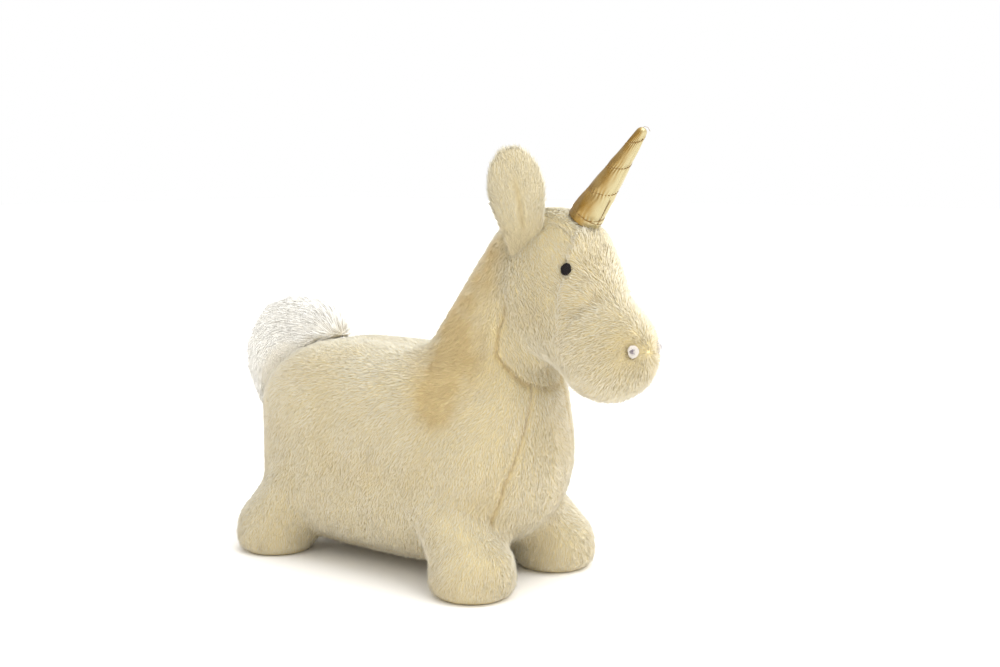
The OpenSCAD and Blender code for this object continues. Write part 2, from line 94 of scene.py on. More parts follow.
def fromBmesh(bm, name, smooth=True):
    mesh = bpy.data.meshes.new(name)
    bm.to_mesh(mesh)
    bm.free()
    if smooth:
        mesh.shade_smooth()
    return linked(name, mesh)


def joinedCopy(nodes, name, filler=None):
    bm = bmesh.new()
    for n in nodes:
        bm.from_mesh(frame["nodes"][n].data)
    bmesh.ops.remove_doubles(bm, verts=bm.verts, dist=1e-5)
    if filler:
        bmesh.ops.create_icosphere(bm, subdivisions=5, radius=1, matrix=filler)
    return fromBmesh(bm, name)


# Bakes the live modifiers into the mesh.
def finished(ob):
    bpy.context.view_layer.update()
    dg = bpy.context.evaluated_depsgraph_get()
    fresh = bpy.data.meshes.new_from_object(ob.evaluated_get(dg), preserve_all_data_layers=True, depsgraph=dg)
    ob.modifiers.clear()
    old, ob.data = ob.data, fresh
    bpy.data.meshes.remove(old)
    return ob


def points(ob):
    co = np.empty(len(ob.data.vertices) * 3)
    ob.data.vertices.foreach_get("co", co)
    return co.reshape(-1, 3)


def setPoints(ob, co):
    ob.data.vertices.foreach_set("co", co.ravel())
    ob.data.update()


def normals(ob):
    no = np.empty(len(ob.data.vertices) * 3, np.float32)
    ob.data.vertex_normals.foreach_get("vector", no)
    return no.reshape(-1, 3).astype(float)


# Keeps the biggest skin of a closed form and drops the ones inside it.
def outerSkin(ob):
    bm = bmesh.new()
    bm.from_mesh(ob.data)
    todo, best = set(bm.verts), []
    while todo:
        first = todo.pop()
        group, edge = [first], [first]
        while edge:
            nxt = []
            for v in edge:
                for e in v.link_edges:
                    o = e.other_vert(v)
                    if o in todo:
                        todo.remove(o)
                        nxt.append(o)
            group += nxt
            edge = nxt
        if len(group) > len(best):
            best = group
    keep = set(best)
    bmesh.ops.delete(bm, geom=[v for v in bm.verts if v not in keep], context="VERTS")
    bm.to_mesh(ob.data)
    bm.free()
    return ob


# One closed skin round the CAD pieces: voxels, then rounding, then pulled in to where the pile is rooted.
def softSkin(nodes, name, voxel, rounding, inset, filler=None):
    ob = joinedCopy(nodes, name, filler)
    m = ob.modifiers.new("voxels", "REMESH")
    m.mode, m.voxel_size = "VOXEL", voxel
    outerSkin(finished(ob))
    s = ob.modifiers.new("rounding", "SMOOTH")
    s.factor, s.iterations = 0.5, rounding
    if inset:
        d = ob.modifiers.new("inset", "DISPLACE")
        d.mid_level, d.strength = 0, -inset
    finished(ob)
    ob.data.shade_smooth()
    return ob


# Cloth under air pressure: what lies away from the held points swells, by no more than cap.
def inflate(ob, held, cap, frames=20, pressure=4):
    start = points(ob)
    group = ob.vertex_groups.new(name="held")
    for i in np.nonzero(held > 0.01)[0]:
        group.add([int(i)], float(held[i]), "REPLACE")
    cloth = ob.modifiers.new("air", "CLOTH")
    cloth.settings.use_pressure = True
    cloth.settings.uniform_pressure_force = pressure
    cloth.settings.effector_weights.gravity = 0
    cloth.settings.vertex_group_mass = "held"
    cloth.settings.quality = 4
    cloth.settings.tension_stiffness = 25
    cloth.settings.bending_stiffness = 2
    cloth.point_cache.frame_end = frames
    for f in range(1, frames + 1):
        scene.frame_set(f)
    finished(ob)
    scene.frame_set(1)
    move = points(ob) - start
    far = np.linalg.norm(move, axis=1, keepdims=True)
    setPoints(ob, start + move * np.minimum(1, cap / np.maximum(far, 1e-9)))
    ob.vertex_groups.clear()
    print(ob.name, "inflated, largest move %.1f mm" % (min(cap, far.max()) * 1000))


def treeOf(node):
    me = frame["nodes"][node].data
    co = [v.co.copy() for v in me.vertices]
    return BVHTree.FromPolygons(co, [tuple(p.vertices) for p in me.polygons])


# For each point: the nearest piece, the next one, and how far that next one is.
def panelsOf(co, nodes):
    d = np.empty((len(nodes), len(co)))
    for k, n in enumerate(nodes):
        tree = treeOf(n)
        d[k] = [tree.find_nearest(Vector(p))[3] for p in co]
    order = np.argsort(d, axis=0)[:2]
    return order[0], order[1], np.take_along_axis(d, order, axis=0)[1]


# A value that changes softly from place to place, from -1 to 1.
def drift(co, size, seed=0.0):
    return np.array([noise.noise(Vector(p) / size + Vector((seed, seed * 1.7, -seed))) for p in co])


def drifts(co, size, seeds):
    return np.stack([drift(co, size, seed) for seed in seeds], axis=1)


def rise(x, low, high):
    t = np.clip((x - low) / (high - low), 0, 1)
    return t * t * (3 - 2 * t)


def near(co, spot, reach):
    return np.exp(-(np.linalg.norm(co - np.array(spot), axis=1) / reach) ** 2)


# Directions laid along the skin, each with a length of one.
def alongSkin(way, no):
    way = way - no * (way * no).sum(1)[:, None]
    return way / np.maximum(np.linalg.norm(way, axis=1, keepdims=True), 1e-6)


def setField(ob, name, values, kind="FLOAT"):
    a = ob.data.attributes.get(name) or ob.data.attributes.new(name, kind, "POINT")
    if kind == "FLOAT":
        a.data.foreach_set("value", np.asarray(values, np.float32).ravel())
    else:
        a.data.foreach_set("vector", np.asarray(values, np.float32).ravel())


# The fields that the pile and its material read.
def setPileFields(ob, nap, pile, stand, gold, cover=None):
    count = len(ob.data.vertices)
    setField(ob, "nap", nap, "FLOAT_VECTOR")
    setField(ob, "pile", pile)
    setField(ob, "stand", stand)
    setField(ob, "cover", np.ones(count) if cover is None else cover)
    setField(ob, "gold", gold)
    setField(ob, "rise", np.zeros(count))
    setField(ob, "fleck", np.full(count, 0.5))


# The pile is one small closed tuft, set over a skin many times.
def makeTuft(name, sides, rings, lean):
    bm = bmesh.new()
    bmesh.ops.create_cone(bm, cap_ends=True, cap_tris=False, segments=sides, radius1=1.0, radius2=0.0, depth=1.0,
                          matrix=Matrix.Translation((0, 0, 0.5)))
    for k in range(1, rings):
        bmesh.ops.bisect_plane(bm, geom=bm.verts[:] + bm.edges[:] + bm.faces[:], plane_co=(0, 0, k / rings),
                               plane_no=(0, 0, 1))
    bmesh.ops.triangulate(bm, faces=bm.faces)
    for v in bm.verts:
        z = v.co.z
        fat = (1 - 0.25 * z) / max(1 - z, 0.3) if 0 < z < 0.999 else 1
        v.co.x *= fat
        v.co.y = v.co.y * fat + lean * z * z
    level = bm.verts.layers.float.new("rise")
    for v in bm.verts:
        v[level] = v.co.z
    tuft = fromBmesh(bm, name)
    tuft.hide_render = tuft.hide_viewport = True
    return tuft


def pileNodes():
    g = bpy.data.node_groups.new("setPile", "GeometryNodeTree")
    add, link = g.nodes.new, g.links.new
    for name, kind in (("Geometry", "Geometry"), ("Tuft", "Object"), ("Spacing", "Float"), ("Length", "Float"),
                       ("Girth", "Float"), ("Stand", "Float"), ("Wild", "Float"), ("Seed", "Int")):
        g.interface.new_socket(name, in_out="INPUT", socket_type="NodeSocket" + kind)
    g.interface.new_socket("Geometry", in_out="OUTPUT", socket_type="NodeSocketGeometry")
    src, out = add("NodeGroupInput"), add("NodeGroupOutput")

    def field(name, kind="FLOAT"):
        n = add("GeometryNodeInputNamedAttribute")
        n.data_type = kind
        n.inputs["Name"].default_value = name
        return n.outputs["Attribute"]

    def maths(op, a, b):
        n = add("ShaderNodeMath")
        n.operation = op
        for i, x in enumerate((a, b)):
            if isinstance(x, (int, float)):
                n.inputs[i].default_value = x
            else:
                link(x, n.inputs[i])
        return n.outputs[0]

    def scaled(v, s):
        n = add("ShaderNodeVectorMath")
        n.operation = "SCALE"
        link(v, n.inputs[0])
        link(s, n.inputs["Scale"])
        return n.outputs[0]

    def summed(a, b):
        n = add("ShaderNodeVectorMath")
        n.operation = "ADD"
        link(a, n.inputs[0])
        link(b, n.inputs[1])
        return n.outputs[0]

    def chance(low, high, kind, turn):
        n = add("FunctionNodeRandomValue")
        n.data_type = kind
        ends = [s for s in n.inputs if s.enabled and s.name in ("Min", "Max")]
        ends[0].default_value, ends[1].default_value = low, high
        link(maths("ADD", src.outputs["Seed"], turn), n.inputs["Seed"])
        return [s for s in n.outputs if s.enabled][0]

    spread = add("GeometryNodeDistributePointsOnFaces")
    spread.distribute_method = "POISSON"
    link(src.outputs["Geometry"], spread.inputs["Mesh"])
    link(src.outputs["Spacing"], spread.inputs["Distance Min"])
    spread.inputs["Density Max"].default_value = 3e6
    link(field("cover"), spread.inputs["Density Factor"])
    link(src.outputs["Seed"], spread.inputs["Seed"])

    way = scaled(spread.outputs["Normal"], maths("MULTIPLY", src.outputs["Stand"], field("stand")))
    way = summed(way, field("nap", "FLOAT_VECTOR"))
    way = summed(way, scaled(chance((-1, -1, -1), (1, 1, 1), "FLOAT_VECTOR", 1), src.outputs["Wild"]))
    aim = add("FunctionNodeAlignRotationToVector")
    aim.axis = "Z"
    link(way, aim.inputs["Vector"])
    twist = add("FunctionNodeAxisAngleToRotation")
    twist.inputs["Axis"].default_value = (0, 0, 1)
    link(chance(0.0, 6.283, "FLOAT", 2), twist.inputs["Angle"])
    turn = add("FunctionNodeRotateRotation")
    turn.rotation_space = "LOCAL"
    link(aim.outputs[0], turn.inputs[0])
    link(twist.outputs[0], turn.inputs[1])

    size = add("ShaderNodeCombineXYZ")
    girth = maths("MULTIPLY", src.outputs["Girth"], chance(0.75, 1.25, "FLOAT", 3))
    link(girth, size.inputs[0])
    link(girth, size.inputs[1])
    long = maths("MULTIPLY", maths("MULTIPLY", src.outputs["Length"], field("pile")), chance(0.7, 1.15, "FLOAT", 4))
    link(long, size.inputs[2])

    tuft = add("GeometryNodeObjectInfo")
    tuft.inputs["As Instance"].default_value = True
    link(src.outputs["Tuft"], tuft.inputs["Object"])
    plant = add("GeometryNodeInstanceOnPoints")
    link(spread.outputs["Points"], plant.inputs["Points"])
    link(tuft.outputs["Geometry"], plant.inputs["Instance"])
    link(turn.outputs[0], plant.inputs["Rotation"])
    link(size.outputs[0], plant.inputs["Scale"])
    fleck = add("GeometryNodeStoreNamedAttribute")
    fleck.data_type, fleck.domain = "FLOAT", "INSTANCE"
    fleck.inputs["Name"].default_value = "fleck"
    link(plant.outputs["Instances"], fleck.inputs["Geometry"])
    link(chance(0.0, 1.0, "FLOAT", 5), fleck.inputs["Value"])
    real = add("GeometryNodeRealizeInstances")
    link(fleck.outputs["Geometry"], real.inputs["Geometry"])
    join = add("GeometryNodeJoinGeometry")
    link(real.outputs["Geometry"], join.inputs["Geometry"])
    link(src.outputs["Geometry"], join.inputs["Geometry"])
    link(join.outputs["Geometry"], out.inputs["Geometry"])
    return g


pileTree = pileNodes()
lowestPile = 0.0004


# Sets the pile on a skin that has the fields cover, pile, stand and nap, and keeps it above the floor.
def setPile(ob, tuft, pile, seed):
    setField(ob, "lie", normals(ob), "FLOAT_VECTOR")
    m = ob.modifiers.new("pile", "NODES")
    m.node_group = pileTree
    ids = {i.name: i.identifier for i in pileTree.interface.items_tree if i.in_out == "INPUT"}
    m[ids["Tuft"]] = tuft
    for key in ("Spacing", "Length", "Girth", "Stand", "Wild"):
        m[ids[key]] = pile[key.lower()]
    m[ids["Seed"]] = seed
    finished(ob)
    co = points(ob)
    co[:, 2] = np.maximum(co[:, 2], lowestPile)
    setPoints(ob, co)
    ob.data.shade_smooth()
    print(ob.name, "pile set,", len(ob.data.polygons), "faces")


# Material tools that every piece uses.
def material(name, roughness=0.9, sheen=0.0, sheenRoughness=0.5, metallic=0.0, coat=0.0, specular=0.5):
    m = bpy.data.materials.new(name)
    m.use_nodes = True
    b = m.node_tree.nodes["Principled BSDF"]
    b.inputs["Roughness"].default_value = roughness
    b.inputs["Sheen Weight"].default_value = sheen
    b.inputs["Sheen Roughness"].default_value = sheenRoughness
    b.inputs["Metallic"].default_value = metallic
    b.inputs["Coat Weight"].default_value = coat
    b.inputs["Specular IOR Level"].default_value = specular
    return m, b


def colour(hexCode):
    c = [int(hexCode[i:i + 2], 16) / 255 for i in (0, 2, 4)]
    return [x / 12.92 if x < 0.04045 else ((x + 0.055) / 1.055) ** 2.4 for x in c] + [1]


def nodeSet(m):
    tree = m.node_tree

    def add(kind, **settings):
        n = tree.nodes.new("ShaderNode" + kind)
        for k, v in settings.items():
            if hasattr(n, k):
                setattr(n, k, v)
            else:
                n.inputs[k.replace("_", " ")].default_value = v
        return n

    return add, tree.links.new


def mixed(add, link, factor, a, b, mode="MIX"):
    n = add("Mix", data_type="RGBA", blend_type=mode)
    for sock, x in ((n.inputs[0], factor), (n.inputs[6], a), (n.inputs[7], b)):
        if isinstance(x, bpy.types.NodeSocket):
            link(x, sock)
        else:
            sock.default_value = x
    return n.outputs[2]


def ranged(add, link, value, low, high, outLow=0.0, outHigh=1.0):
    n = add("MapRange")
    link(value, n.inputs["Value"])
    for name, v in (("From Min", low), ("From Max", high), ("To Min", outLow), ("To Max", outHigh)):
        n.inputs[name].default_value = v
    return n.outputs[0]


# The plush of the body and head.
plush = {
    "voxel": 0.005,
    "rounding": 9,
    "soften": 60,
    "shade": 0.17,           # painted shade: how much yellower the pile is painted where it doesn't face up
    "skull": (0, -220, 340),             # fills the pockets in the plush below the ears and the horn
    "skullSize": (0.0625, 0.0785, 0.0805),
    "inset": 0.0047,
    "swell": 0.0022,         # the most that a panel swells between its seams
    "seamDepth": 0.0022,
    "seamWidth": 0.0026,
    "noseDent": 0.0040,
    "eyeDent": 0.0018,
    "foldDepth": 0.0036,
    "eyeBare": 0.45,         # no pile grows as near as this to the middle of an eye or a nostril
    "noseBare": 0.42,
    "aboveFloor": 0.0008,    # the soles' backing lies this far above the floor
    "backing": 0.0014,
    "spacing": 0.00140,
    "length": 0.0080,
    "girth": 0.00056,
    "stand": 0.50,
    "wild": 0.20,
    "even": 1.2,             # how far a tuft takes its shading from the skin below it
    "tip": "FFFBEB",
    "root": "F7E6B0",
    "deep": "DBB45E",
}
panels = ["side_left", "side_right", "chest_gusset", "belly_left", "belly_right", "forehead_gusset", "cheek_left",
          "cheek_right", "muzzle_cap", "leg_front_left", "leg_front_right", "leg_rear_left", "leg_rear_right",
          "sole_front_left", "sole_front_right", "sole_rear_left", "sole_rear_right"]
# How much a seam shows in the pile, by the pieces that meet in it: as a groove, as shorter pile and as painted shade
# along it.
seamShow = {("cheek", "side"): 1.0, ("forehead", "side"): 0.6, ("chest", "side"): 0.9, ("chest", "cheek"): 0.5,
            ("muzzle", "cheek"): 0.12, ("muzzle", "forehead"): 0.12, ("cheek", "forehead"): 0.12,
            ("side", "side"): 0.2, ("cheek", "cheek"): 0.3, ("belly", "belly"): 0.6, ("belly", "side"): 0.3,
            ("belly", "chest"): 0.3, ("sole", "leg"): 0.5}
eyeSpots = [sum(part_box("eye_" + s), Vector()) / 2 for s in ("left", "right")]
nostrilSpots = [sum(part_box("nostril_" + s), Vector()) / 2 for s in ("left", "right")]
muzzleLow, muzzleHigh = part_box("muzzle_cap")


def here(x, y, z):
    return (x / 1000, barrelMid + y / 1000, z / 1000)


# Golden spots painted at the neck, where the pile parts in the hollow between neck and shoulder, partly its golden
# depth and partly painted shade: each with a radius and a strength.
neckGoldAndShade = [(60, -128, 300, 34, 0.8), (66, -120, 262, 34, 0.9), (78, -122, 222, 30, 1.0), (84, -132, 200, 22, 0.7),
            (55, -148, 345, 30, 0.7), (48, -160, 378, 24, 0.8), (0, -112, 300, 40, 0.35), (52, -150, 240, 26, 0.8)]
# The soft fold over the muzzle, as spots along it: dented into the skin, with painted shade in its crease.
ends = ((56.9, -275.9, 308.9), (45.6, -291.5, 317.2), (29.0, -302.3, 327.9))
foldSpots = [tuple(a + (b - a) * k / 6 for a, b in zip(*pair)) for pair in zip(ends, ends[1:]) for k in range(6)]


# How much the seam between the two nearest pieces shows, for each point.
def seamWeight(first, second):
    kinds = [n.split("_")[0] for n in panels]
    show = np.zeros((len(kinds), len(kinds)))
    for i, a in enumerate(kinds):
        for j, b in enumerate(kinds):
            show[i, j] = seamShow.get((a, b), seamShow.get((b, a), 0.0))
    return show[first, second]


def bodySkin(p):
    skull = Matrix.LocRotScale(Vector(here(*p["skull"])), None, Vector(p["skullSize"]))
    skin = softSkin(panels + ["bladder"], "bodySkin", p["voxel"], p["rounding"], 0, skull)
    co = points(skin)
    first, second, gap = panelsOf(co, panels)
    legs = np.array([n.startswith(("leg", "sole")) for n in panels])
    atLeg = np.exp(-(gap / 0.020) ** 2) * (legs[first] != legs[second]) * rise(co[:, 2], 0.02, 0.05)
    crease = (co - np.array(here(0, -254, 306))) @ np.array([0, -0.7071, -0.7071])
    onHead = rise(co[:, 2], 0.20, 0.225) * rise(barrelMid - 0.16 - co[:, 1], 0, 0.03)
    atCrease = np.exp(-(crease / 0.024) ** 2) * onHead
    atNeck = near(co, here(0, -98, 266), 0.068)
    soft = np.clip(atLeg + atCrease + atNeck, 0, 1)
    group = skin.vertex_groups.new(name="soft")
    for i in np.nonzero(soft > 0.02)[0]:
        group.add([int(i)], float(soft[i]), "REPLACE")
    m = skin.modifiers.new("soften", "SMOOTH")
    m.factor, m.iterations, m.vertex_group = 0.5, p["soften"], "soft"
    d = skin.modifiers.new("inset", "DISPLACE")
    d.mid_level, d.strength = 0, -p["inset"]
    finished(skin)
    skin.vertex_groups.clear()
    inflate(skin, np.exp(-(gap / 0.007) ** 2), p["swell"])
    s = skin.modifiers.new("fine", "SUBSURF")
    s.levels = s.render_levels = 1
    finished(skin)
    co = points(skin)
    first, second, gap = panelsOf(co, panels)
    seam = seamWeight(first, second) * np.exp(-(gap / p["seamWidth"]) ** 2)
    no = normals(skin)
    foot = 1 - rise(co[:, 2], 0.010, 0.034)
    co -= no * (p["seamDepth"] * seam * (1 - foot))[:, None]
    for spot in nostrilSpots:
        co -= no * (p["noseDent"] * near(co, spot, 0.011))[:, None]
    for spot in eyeSpots:
        co -= no * (p["eyeDent"] * near(co, spot, 0.010))[:, None]
    fold = sum(near(co, here(side * x, y, z), 0.006) for x, y, z in foldSpots for side in (-1, 1))
    co -= no * (p["foldDepth"] * np.clip(fold, 0, 1))[:, None]
    co[:, 2] -= foot * (co[:, 2].min() - p["aboveFloor"])
    setPoints(skin, co)
    return skin, seam


def bodyFields(ob, seam, p):
    co, no = points(ob), normals(ob)
    y = co[:, 1] - barrelMid
    x, z = co[:, 0], co[:, 2]
    up = rise(z, 0.13, 0.25)
    head = rise(-y - 0.10, 0.05, 0.09) * rise(z, 0.215, 0.27)
    neck = rise(z, 0.23, 0.29) * rise(-y, 0.06, 0.10) * (1 - head)
    muzzle = rise(muzzleHigh.y + 0.02 - co[:, 1], 0, 0.04) * rise(z, 0.20, 0.24)
    way = np.stack([0.25 * np.sign(x) * (1 - up), 0.15 + 1.1 * up, -1 + 0.2 * up], axis=1)
    way = way * (1 - neck)[:, None] + np.array([0, 0.55, -1.0]) * neck[:, None]
    way = way * (1 - head)[:, None] + np.array([0, -0.75, -1.0]) * head[:, None]
    tip = Vector(((muzzleLow.x + muzzleHigh.x) / 2, muzzleLow.y + 0.02, muzzleLow.z + 0.05))
    away = co - np.array(tip)
    away /= np.linalg.norm(away, axis=1, keepdims=True)
    way = way * (1 - muzzle)[:, None] + (away * 0.9 + np.array([0, 0, -0.5])) * muzzle[:, None]
    way = way + drifts(co, 0.035, (3, 7, 11)) * 0.35 + drifts(co, 0.011, (5, 9, 13)) * 0.15
    low = 1 - rise(z, 0.004, 0.012)
    eye = sum(near(co, s, 0.0085) for s in eyeSpots)
    nose = sum(near(co, s, 0.0095) for s in nostrilSpots)
    # Painted shadow round each nostril, where it is sunk in the pile.
    noseRingShade = np.clip(sum(near(co, s, 0.015) for s in nostrilSpots), 0, 1)
    pile = (1 + 0.16 * muzzle + 0.10 * drift(co, 0.02, 17)) * (1 - 0.35 * seam) * (1 - 0.6 * low)
    pile = pile * (1 - 0.55 * np.clip(eye, 0, 1)) * (1 - 0.5 * np.clip(nose, 0, 1))
    gold = sum(w * near(co, here(side * px, py, pz), r / 1000) for px, py, pz, r, w in neckGoldAndShade for side in (-1, 1))
    gold *= 1 - 0.9 * rise(-y, 0.205, 0.23) * rise(z, 0.33, 0.36)
    gold *= 1 + 0.45 * drift(co, 0.014, 31) + 0.3 * drift(co, 0.005, 37)
    fold = sum(near(co, here(side * fx, fy, fz), 0.0034) for fx, fy, fz in foldSpots for side in (-1, 1))
    # Painted shade: the pile is painted yellower where it faces sideways or down, along the seams and in the muzzle's
    # fold.
    gold += p["shade"] * (1 - rise(no[:, 2], -0.2, 0.75)) + 0.9 * seam + np.clip(fold, 0, 1)
    gold += 0.5 * noseRingShade + 0.25 * np.clip(drift(co, 0.05, 23), 0, 1)
    earRoots = [Vector(joints["ear_" + s + "_flex"]["pos_m"]) for s in ("left", "right")]
    ear = np.clip(sum(near(co, spot, 0.030) for spot in earRoots), 0, 1)
    pile = pile * (1 + 0.15 * ear)
    stand = (1 + 0.05 * head + 0.2 * muzzle + 0.15 * drift(co, 0.016, 29)) * (1 - 0.5 * low)
    bare = (eye > p["eyeBare"]) | (nose > p["noseBare"])
    setPileFields(ob, alongSkin(way, no), pile, stand, np.clip(gold, 0, 1.2), np.where(bare, 0, 1))


def pileMaterial(name, p, mottle=0.06):
    m, b = material(name, roughness=0.95, sheen=0.25, sheenRoughness=0.6, specular=0.15)
    add, link = nodeSet(m)
    level = add("Attribute", attribute_name="rise").outputs["Fac"]
    fleck = add("Attribute", attribute_name="fleck").outputs["Fac"]
    gold = add("Attribute", attribute_name="gold").outputs["Fac"]
    spot = add("TexCoord").outputs["Object"]
    cloud = add("TexNoise", Scale=22.0, Detail=3.0)
    link(spot, cloud.inputs["Vector"])
    grain = add("TexNoise", Scale=900.0, Detail=2.0)
    link(spot, grain.inputs["Vector"])
    # The tips are mixed towards the deep colour by the gold field, which holds both the pile's own golden tone and
    # painted shade.
    tip = mixed(add, link, ranged(add, link, gold, 0.0, 1.0, 0.0, 0.75), colour(p["tip"]), colour(p["deep"]))
    base = mixed(add, link, ranged(add, link, level, 0.0, 0.55), colour(p["root"]), tip)
    base = mixed(add, link, ranged(add, link, fleck, 0.0, 1.0, 0.0, 0.12), base, colour(p["root"]))
    base = mixed(add, link, ranged(add, link, cloud.outputs[0], 0.35, 0.7, 0.0, mottle * 3), base, colour(p["root"]))
    base = mixed(add, link, ranged(add, link, grain.outputs[0], 0.3, 0.7, 0.0, 0.12), base, colour(p["root"]))
    link(base, b.inputs["Base Color"])
    skinward = add("VectorTransform", vector_type="NORMAL", convert_from="OBJECT", convert_to="WORLD")
    link(add("Attribute", attribute_name="lie").outputs["Vector"], skinward.inputs[0])
    part = add("VectorMath", operation="SCALE")
    link(skinward.outputs[0], part.inputs[0])
    part.inputs["Scale"].default_value = p["even"]
    total = add("VectorMath", operation="ADD")
    link(part.outputs[0], total.inputs[0])
    link(add("NewGeometry").outputs["Normal"], total.inputs[1])
    unit = add("VectorMath", operation="NORMALIZE")
    link(total.outputs[0], unit.inputs[0])
    link(unit.outputs[0], b.inputs["Normal"])
    return m


def splitPanels(skin, which, p, tuft, paint):
    for k, node in enumerate(panels):
        bm = bmesh.new()
        bm.from_mesh(skin.data)
        bm.faces.ensure_lookup_table()
        bmesh.ops.delete(bm, geom=[f for f, w in zip(bm.faces[:], which) if w != k], context="FACES")
        words = node.split("_")
        piece = fromBmesh(bm, words[0] + "".join(w.capitalize() for w in words[1:]))
        s = piece.modifiers.new("backing", "SOLIDIFY")
        s.thickness, s.offset = p["backing"], -1
        inner = piece.vertex_groups.new(name="inner")
        s.shell_vertex_group = inner.name
        finished(piece)
        hidden = np.array([any(g.group == inner.index and g.weight > 0.5 for g in v.groups)
                           for v in piece.data.vertices])
        cover = np.empty(len(hidden), np.float32)
        piece.data.attributes["cover"].data.foreach_get("value", cover)
        setField(piece, "cover", cover * ~hidden)
        piece.vertex_groups.clear()
        setPile(piece, tuft, p, 40 + k)
        piece.data.materials.clear()
        piece.data.materials.append(paint)
        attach(piece, "cover")
        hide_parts(node)


shortTuft = makeTuft("shortTuft", 3, 1, 0.0)
creamPile = pileMaterial("creamPile", plush)
skin, seam = bodySkin(plush)
bodyFields(skin, seam, plush)
mid = np.array([p.center for p in skin.data.polygons])
which = panelsOf(mid, panels)[0]
print("body skin:", len(mid), "faces")
splitPanels(skin, which, plush, shortTuft, creamPile)
bpy.data.objects.remove(skin)
print("body and head covered")


# Each ear is two plush faces on a little wadding, with a dart down the lining.
ears = {
    "voxel": 0.0028,
    "rounding": 5,
    "inset": 0.0024,
    "rootDepth": 0.010,      # how far the ear's foot is drawn down into the head
    "rootIn": 0.003,         # and in towards the head's middle
    "hollow": 0.0012,
    "dartDepth": 0.0026,
    "dartWidth": 0.0034,
    "spacing": 0.00125,
    "length": 0.0066,
    "girth": 0.00055,
    "stand": 0.42,
    "wild": 0.20,
    "even": 1.2,
    "tip": "FDF9E8",
    "root": "ECDFB6",
    "deep": "D8C088",
    "bend": 0.024,
}


def makeEar(side, p, tuft, paint, seed):
    back, lining, body = "ear_" + side + "_back", "ear_" + side + "_lining", "ear_" + side
    ear = softSkin([back, lining, "ear_" + side + "_stuffing"], body + "Skin", p["voxel"], p["rounding"], p["inset"])
    s = ear.modifiers.new("fine", "SUBSURF")
    s.levels = s.render_levels = 1
    finished(ear)
    joint = joints[body + "_flex"]
    seat, across = Vector(joint["pos_m"]), Vector(joint["axis"])
    co, no = points(ear), normals(ear)
    long = Vector(co[np.argmax(np.linalg.norm(co - np.array(seat), axis=1))]) - seat
    long = (long - across * long.dot(across)).normalized()
    front = (sum(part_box(lining), Vector()) - sum(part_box(back), Vector()))
    face = across.cross(long)
    face *= 1 if front.dot(face) > 0 else -1
    t = (co - np.array(seat)) @ np.array(long)
    w = (co - np.array(seat)) @ np.array(across)
    onLining = no @ np.array(face)
    length = t.max()
    inner = rise(onLining, 0.1, 0.6)
    line = 0.0015 * np.sin(t / length * 5)
    dart = np.exp(-((w - line) / p["dartWidth"]) ** 2) * inner
    dart *= rise(0.72 - t / length, 0, 0.2) * rise(t, 0.006, 0.018)
    hollow = np.exp(-(w / (length * 0.2)) ** 2) * inner * rise(t, 0.01, 0.03) * rise(0.95 - t / length, 0, 0.4)
    co -= np.array(face) * (p["dartDepth"] * dart + p["hollow"] * hollow)[:, None]
    inward = Vector((-math.copysign(0.85, seat.x), 0.1, -0.5)).normalized()
    co += np.array(inward) * (p["rootIn"] * (1 - rise(t, -0.004, 0.024)))[:, None]
    co -= np.array(long) * (p["rootDepth"] * (1 - rise(t, 0.0, 0.02)))[:, None]
    setPoints(ear, co)
    no = normals(ear)
    seam = panelsOf(co, [back, lining])[2]
    way = np.array(long)[None] + np.array(across)[None] * (w / 0.04)[:, None] * 0.5
    way = way + drifts(co, 0.02, (3 + seed, 7, 11)) * 0.6
    pile = (1 - 0.6 * dart) * (1 + 0.25 * np.exp(-(seam / 0.006) ** 2))
    # Painted shade in the dart and at the ear's root, and the lining painted a little more golden all over.
    gold = np.clip(0.9 * dart + 0.5 * (1 - rise(t, 0.0, 0.03)) + 0.25 * inner, 0, 1)
    setPileFields(ear, alongSkin(way, no), pile, 1 + 0.2 * drift(co, 0.012, 29), gold)
    mid = np.array([f.center for f in ear.data.polygons])
    which = panelsOf(mid, [back, lining])[0]
    for k, node in enumerate((back, lining)):
        bm = bmesh.new()
        bm.from_mesh(ear.data)
        bmesh.ops.delete(bm, geom=[f for f, n in zip(bm.faces[:], which) if n != k], context="FACES")
        piece = fromBmesh(bm, "ear" + side.capitalize() + ("Back", "Lining")[k])
        setPile(piece, tuft, p, 70 + seed + k)
        piece.data.materials.clear()
        piece.data.materials.append(paint)
        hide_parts(node)
        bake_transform(piece)
    bpy.data.objects.remove(ear)


earPile = pileMaterial("earPile", ears)
makeEar("left", ears, shortTuft, earPile, 1)
makeEar("right", ears, shortTuft, earPile, 4)
print("ears made")


# The wadding inside an ear, the horn or the tail.
def makeWadding(node, body, inset):
    words = node.split("_")
    piece = softSkin([node], words[0] + "".join(w.capitalize() for w in words[1:]), 0.003, 4, inset)
    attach(piece, body)
    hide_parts(node)
    return piece


# The horn is metallic fabric, drawn in by one thread that winds up it.
horn = {
    "length": 0.114,
    "radius": 0.0180,
    "tip": 0.0050,
    "lean": 38,
    "pitch": 0.032,
    "start": 208,            # where the spiral sets out, in degrees round the horn
    "foot": 0.0015,
    "puff": 0.00105,
    "thread": 0.00042,
    "stitch": 0.0026,
    "seamTurn": 262,         # the side of the horn where the fabric is joined
    # The fabric's gold, with painted reflection in the pale tint on the side that faces the given direction, and
    # painted shade in the dark tint on the side turned away.
    "gold": "98742F",
    "pale": "BEB38C",
    "shade": "6E4F1C",
    "paleSide": (0.45, -0.89, 0.0),
    "threadTint": "96743C",
}
hornSeat = Vector(joints["horn_flex"]["pos_m"])
hornPlace = Matrix.Translation(hornSeat) @ Matrix.Rotation(math.radians(horn["lean"]), 4, "X")


